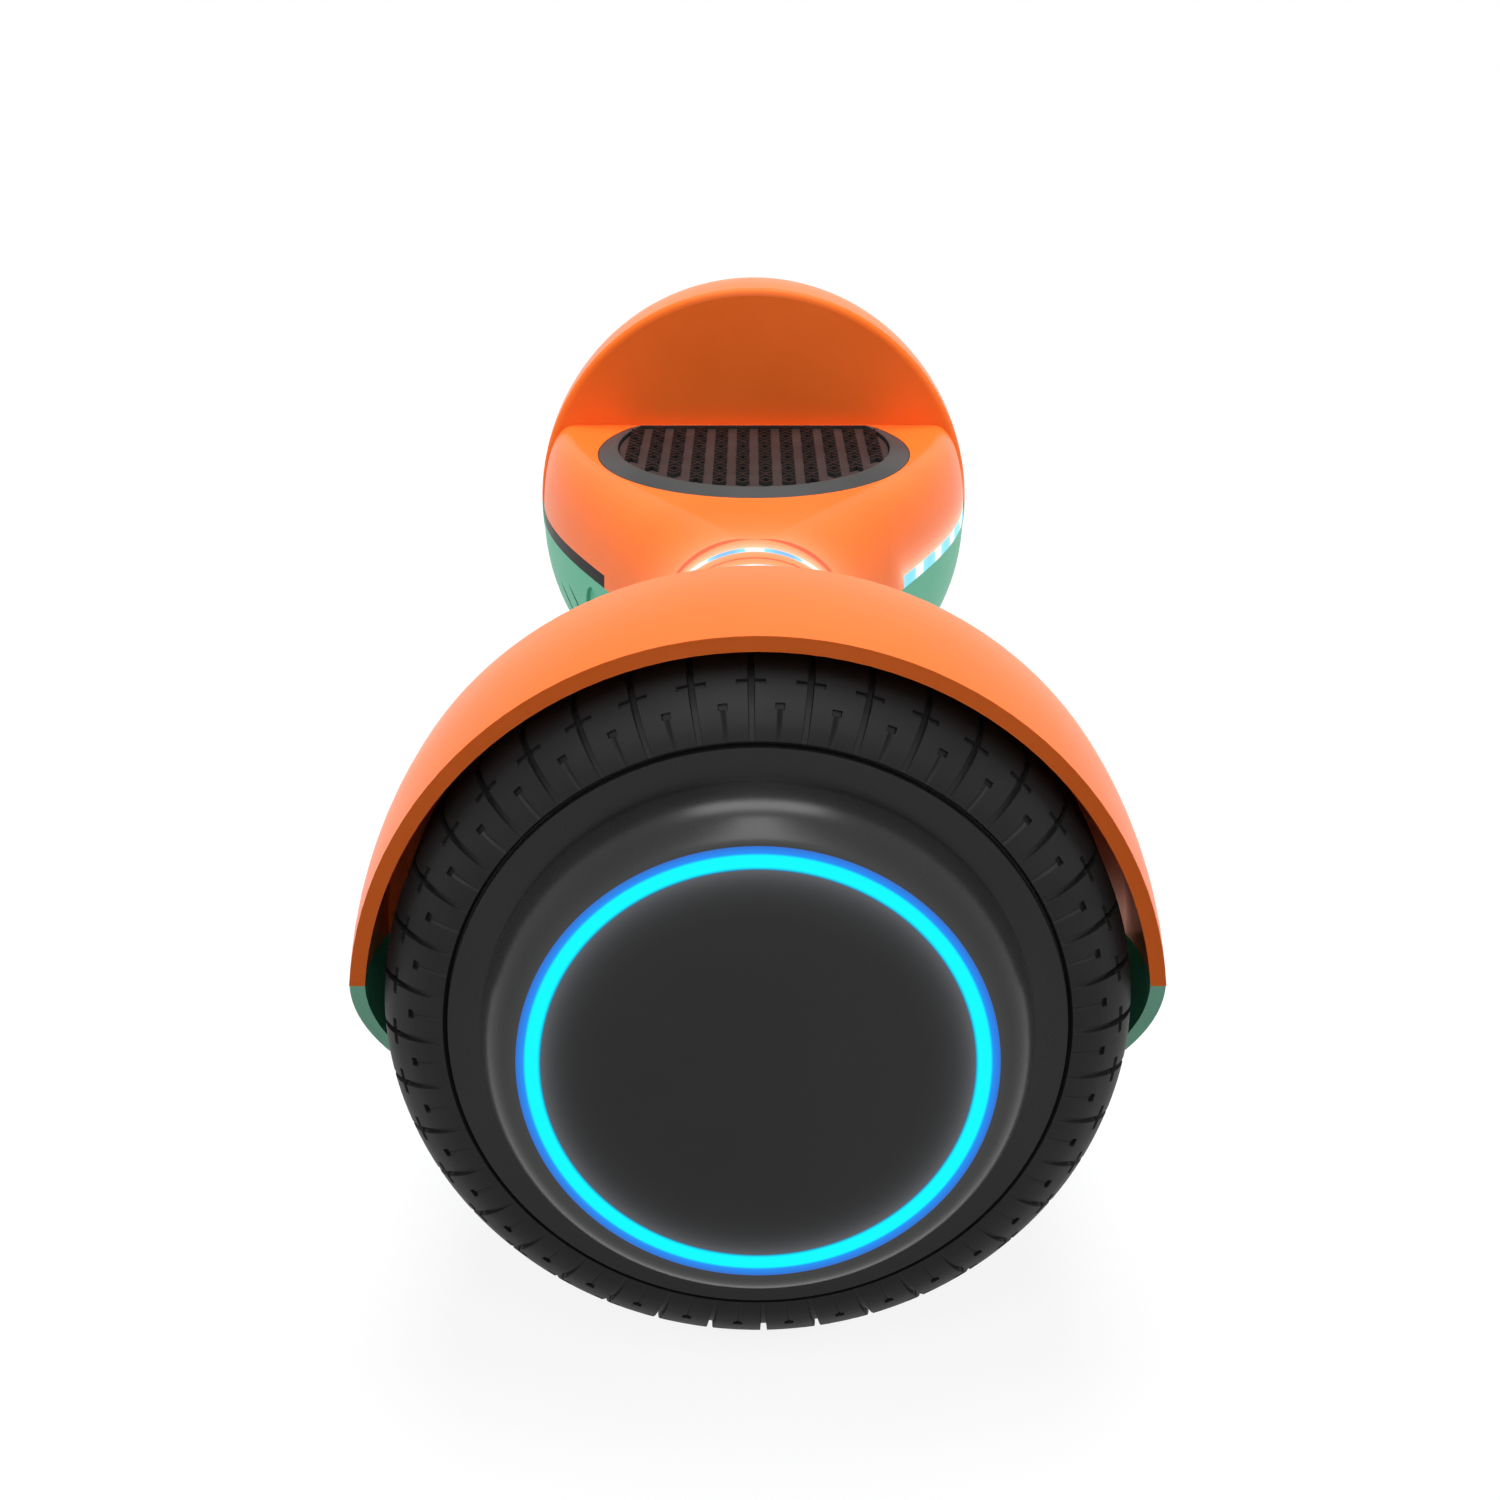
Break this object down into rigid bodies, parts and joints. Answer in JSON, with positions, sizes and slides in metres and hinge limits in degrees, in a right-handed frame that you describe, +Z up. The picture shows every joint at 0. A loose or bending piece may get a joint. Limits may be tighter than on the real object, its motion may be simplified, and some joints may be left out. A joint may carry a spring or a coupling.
{
  "type": "self balancing board",
  "caption": "Two-wheeled self balancing board: two twisting halves with foot pads, round fenders, hub motor wheels and lit rings.",
  "frame": {"origin": "on the floor, midway between the wheels and under the axle line", "axes": "+X along the axle line to the rider's right, +Y to the front, +Z up"},
  "size_m": [0.584, 0.1888, 0.1794],
  "materials": {
    "orange_shell": "gloss orange moulding",
    "green_shell": "satin green moulding",
    "tyre_rubber": "matt black rubber",
    "hub_black": "satin black moulding",
    "hub_light": "lit diffuser",
    "neck_light": "lit diffuser",
    "light_strip": "lit diffuser",
    "black_trim": "gloss black moulding",
    "pad_rubber": "grey rubber",
    "mat_rubber": "dark brown rubber",
    "cast_frame": "as cast",
    "motor_cover": "black painted casting",
    "axle_steel": "turned",
    "magnet_steel": "nickel plated",
    "strap_steel": "zinc plated",
    "laminations": "varnished laminations",
    "screws": "black zinc",
    "bronze": "sintered bronze",
    "copper": "enamelled copper",
    "battery_wrap": "blue shrink wrap",
    "circuit_board": "solder mask",
    "inlet_black": "black moulding",
    "flap_rubber": "black rubber",
    "button_black": "black moulding"
  },
  "bodies": {
    "right_half": {"right_top_shell": "orange_shell", "right_bottom_shell": "green_shell", "right_neck_collar": "orange_shell", "right_neck_light_ring": "neck_light", "right_frame": "cast_frame", "right_axle_clamp": "cast_frame", "right_frame_screws": "screws", "right_motor_axle": "axle_steel", "right_stator_core": "laminations", "right_stator_windings": "copper", "right_pad_rim": "pad_rubber", "right_sensor_board": "circuit_board", "right_front_light_strip": "light_strip", "right_rear_trim_strip": "black_trim", "pivot_tube": "axle_steel", "pivot_pins": "axle_steel", "retaining_ring": "axle_steel", "battery_pack": "battery_wrap", "battery_strap": "strap_steel", "charge_inlet": "inlet_black", "power_switch": "inlet_black"},
    "left_half": {"left_top_shell": "orange_shell", "left_bottom_shell": "green_shell", "left_neck_collar": "orange_shell", "left_neck_light_ring": "neck_light", "left_frame": "cast_frame", "left_axle_clamp": "cast_frame", "left_frame_screws": "screws", "left_motor_axle": "axle_steel", "left_stator_core": "laminations", "left_stator_windings": "copper", "left_pad_rim": "pad_rubber", "left_sensor_board": "circuit_board", "left_front_light_strip": "light_strip", "left_rear_trim_strip": "black_trim", "pivot_bushes": "bronze", "control_board": "circuit_board", "heat_sink": "cast_frame"},
    "right_wheel": {"right_rotor_drum": "axle_steel", "right_rotor_magnets": "magnet_steel", "right_motor_cover_inner": "motor_cover", "right_motor_cover_outer": "motor_cover", "right_wheel_bearings": "axle_steel", "right_tyre": "tyre_rubber", "right_hub_cap": "hub_black", "right_hub_light_ring": "hub_light", "right_hub_disc": "hub_black"},
    "left_wheel": {"left_rotor_drum": "axle_steel", "left_rotor_magnets": "magnet_steel", "left_motor_cover_inner": "motor_cover", "left_motor_cover_outer": "motor_cover", "left_wheel_bearings": "axle_steel", "left_tyre": "tyre_rubber", "left_hub_cap": "hub_black", "left_hub_light_ring": "hub_light", "left_hub_disc": "hub_black"},
    "right_pad": {"right_pad_mat": "mat_rubber"},
    "left_pad": {"left_pad_mat": "mat_rubber"},
    "power_key": {"power_button": "button_black"},
    "charge_cap": {"charge_flap": "flap_rubber"}
  },
  "joints": [
    {"name": "centre_twist", "type": "hinge", "parent": "right_half", "child": "left_half", "pos_m": [0, 0, 0.085], "axis": [1, 0, 0], "range_deg": [-10, 10]},
    {"name": "right_wheel_spin", "type": "hinge", "parent": "right_half", "child": "right_wheel", "pos_m": [0.2505, 0, 0.085], "axis": [1, 0, 0], "continuous": true},
    {"name": "left_wheel_spin", "type": "hinge", "parent": "left_half", "child": "left_wheel", "pos_m": [-0.2505, 0, 0.085], "axis": [1, 0, 0], "continuous": true},
    {"name": "right_pad_press", "type": "slide", "parent": "right_half", "child": "right_pad", "axis": [0, 0, 1], "range_m": [-0.0015, 0], "stiffness_N_per_m": 4000},
    {"name": "left_pad_press", "type": "slide", "parent": "left_half", "child": "left_pad", "axis": [0, 0, 1], "range_m": [-0.0015, 0], "stiffness_N_per_m": 4000},
    {"name": "power_button_press", "type": "slide", "parent": "right_half", "child": "power_key", "axis": [0, 1, 0], "range_m": [0, 0.0012], "stiffness_N_per_m": 800},
    {"name": "charge_cap_hinge", "type": "hinge", "parent": "right_half", "child": "charge_cap", "pos_m": [0.15, -0.07622, 0.07525], "axis": [-1, 0, 0], "range_deg": [0, 90]}
  ]
}
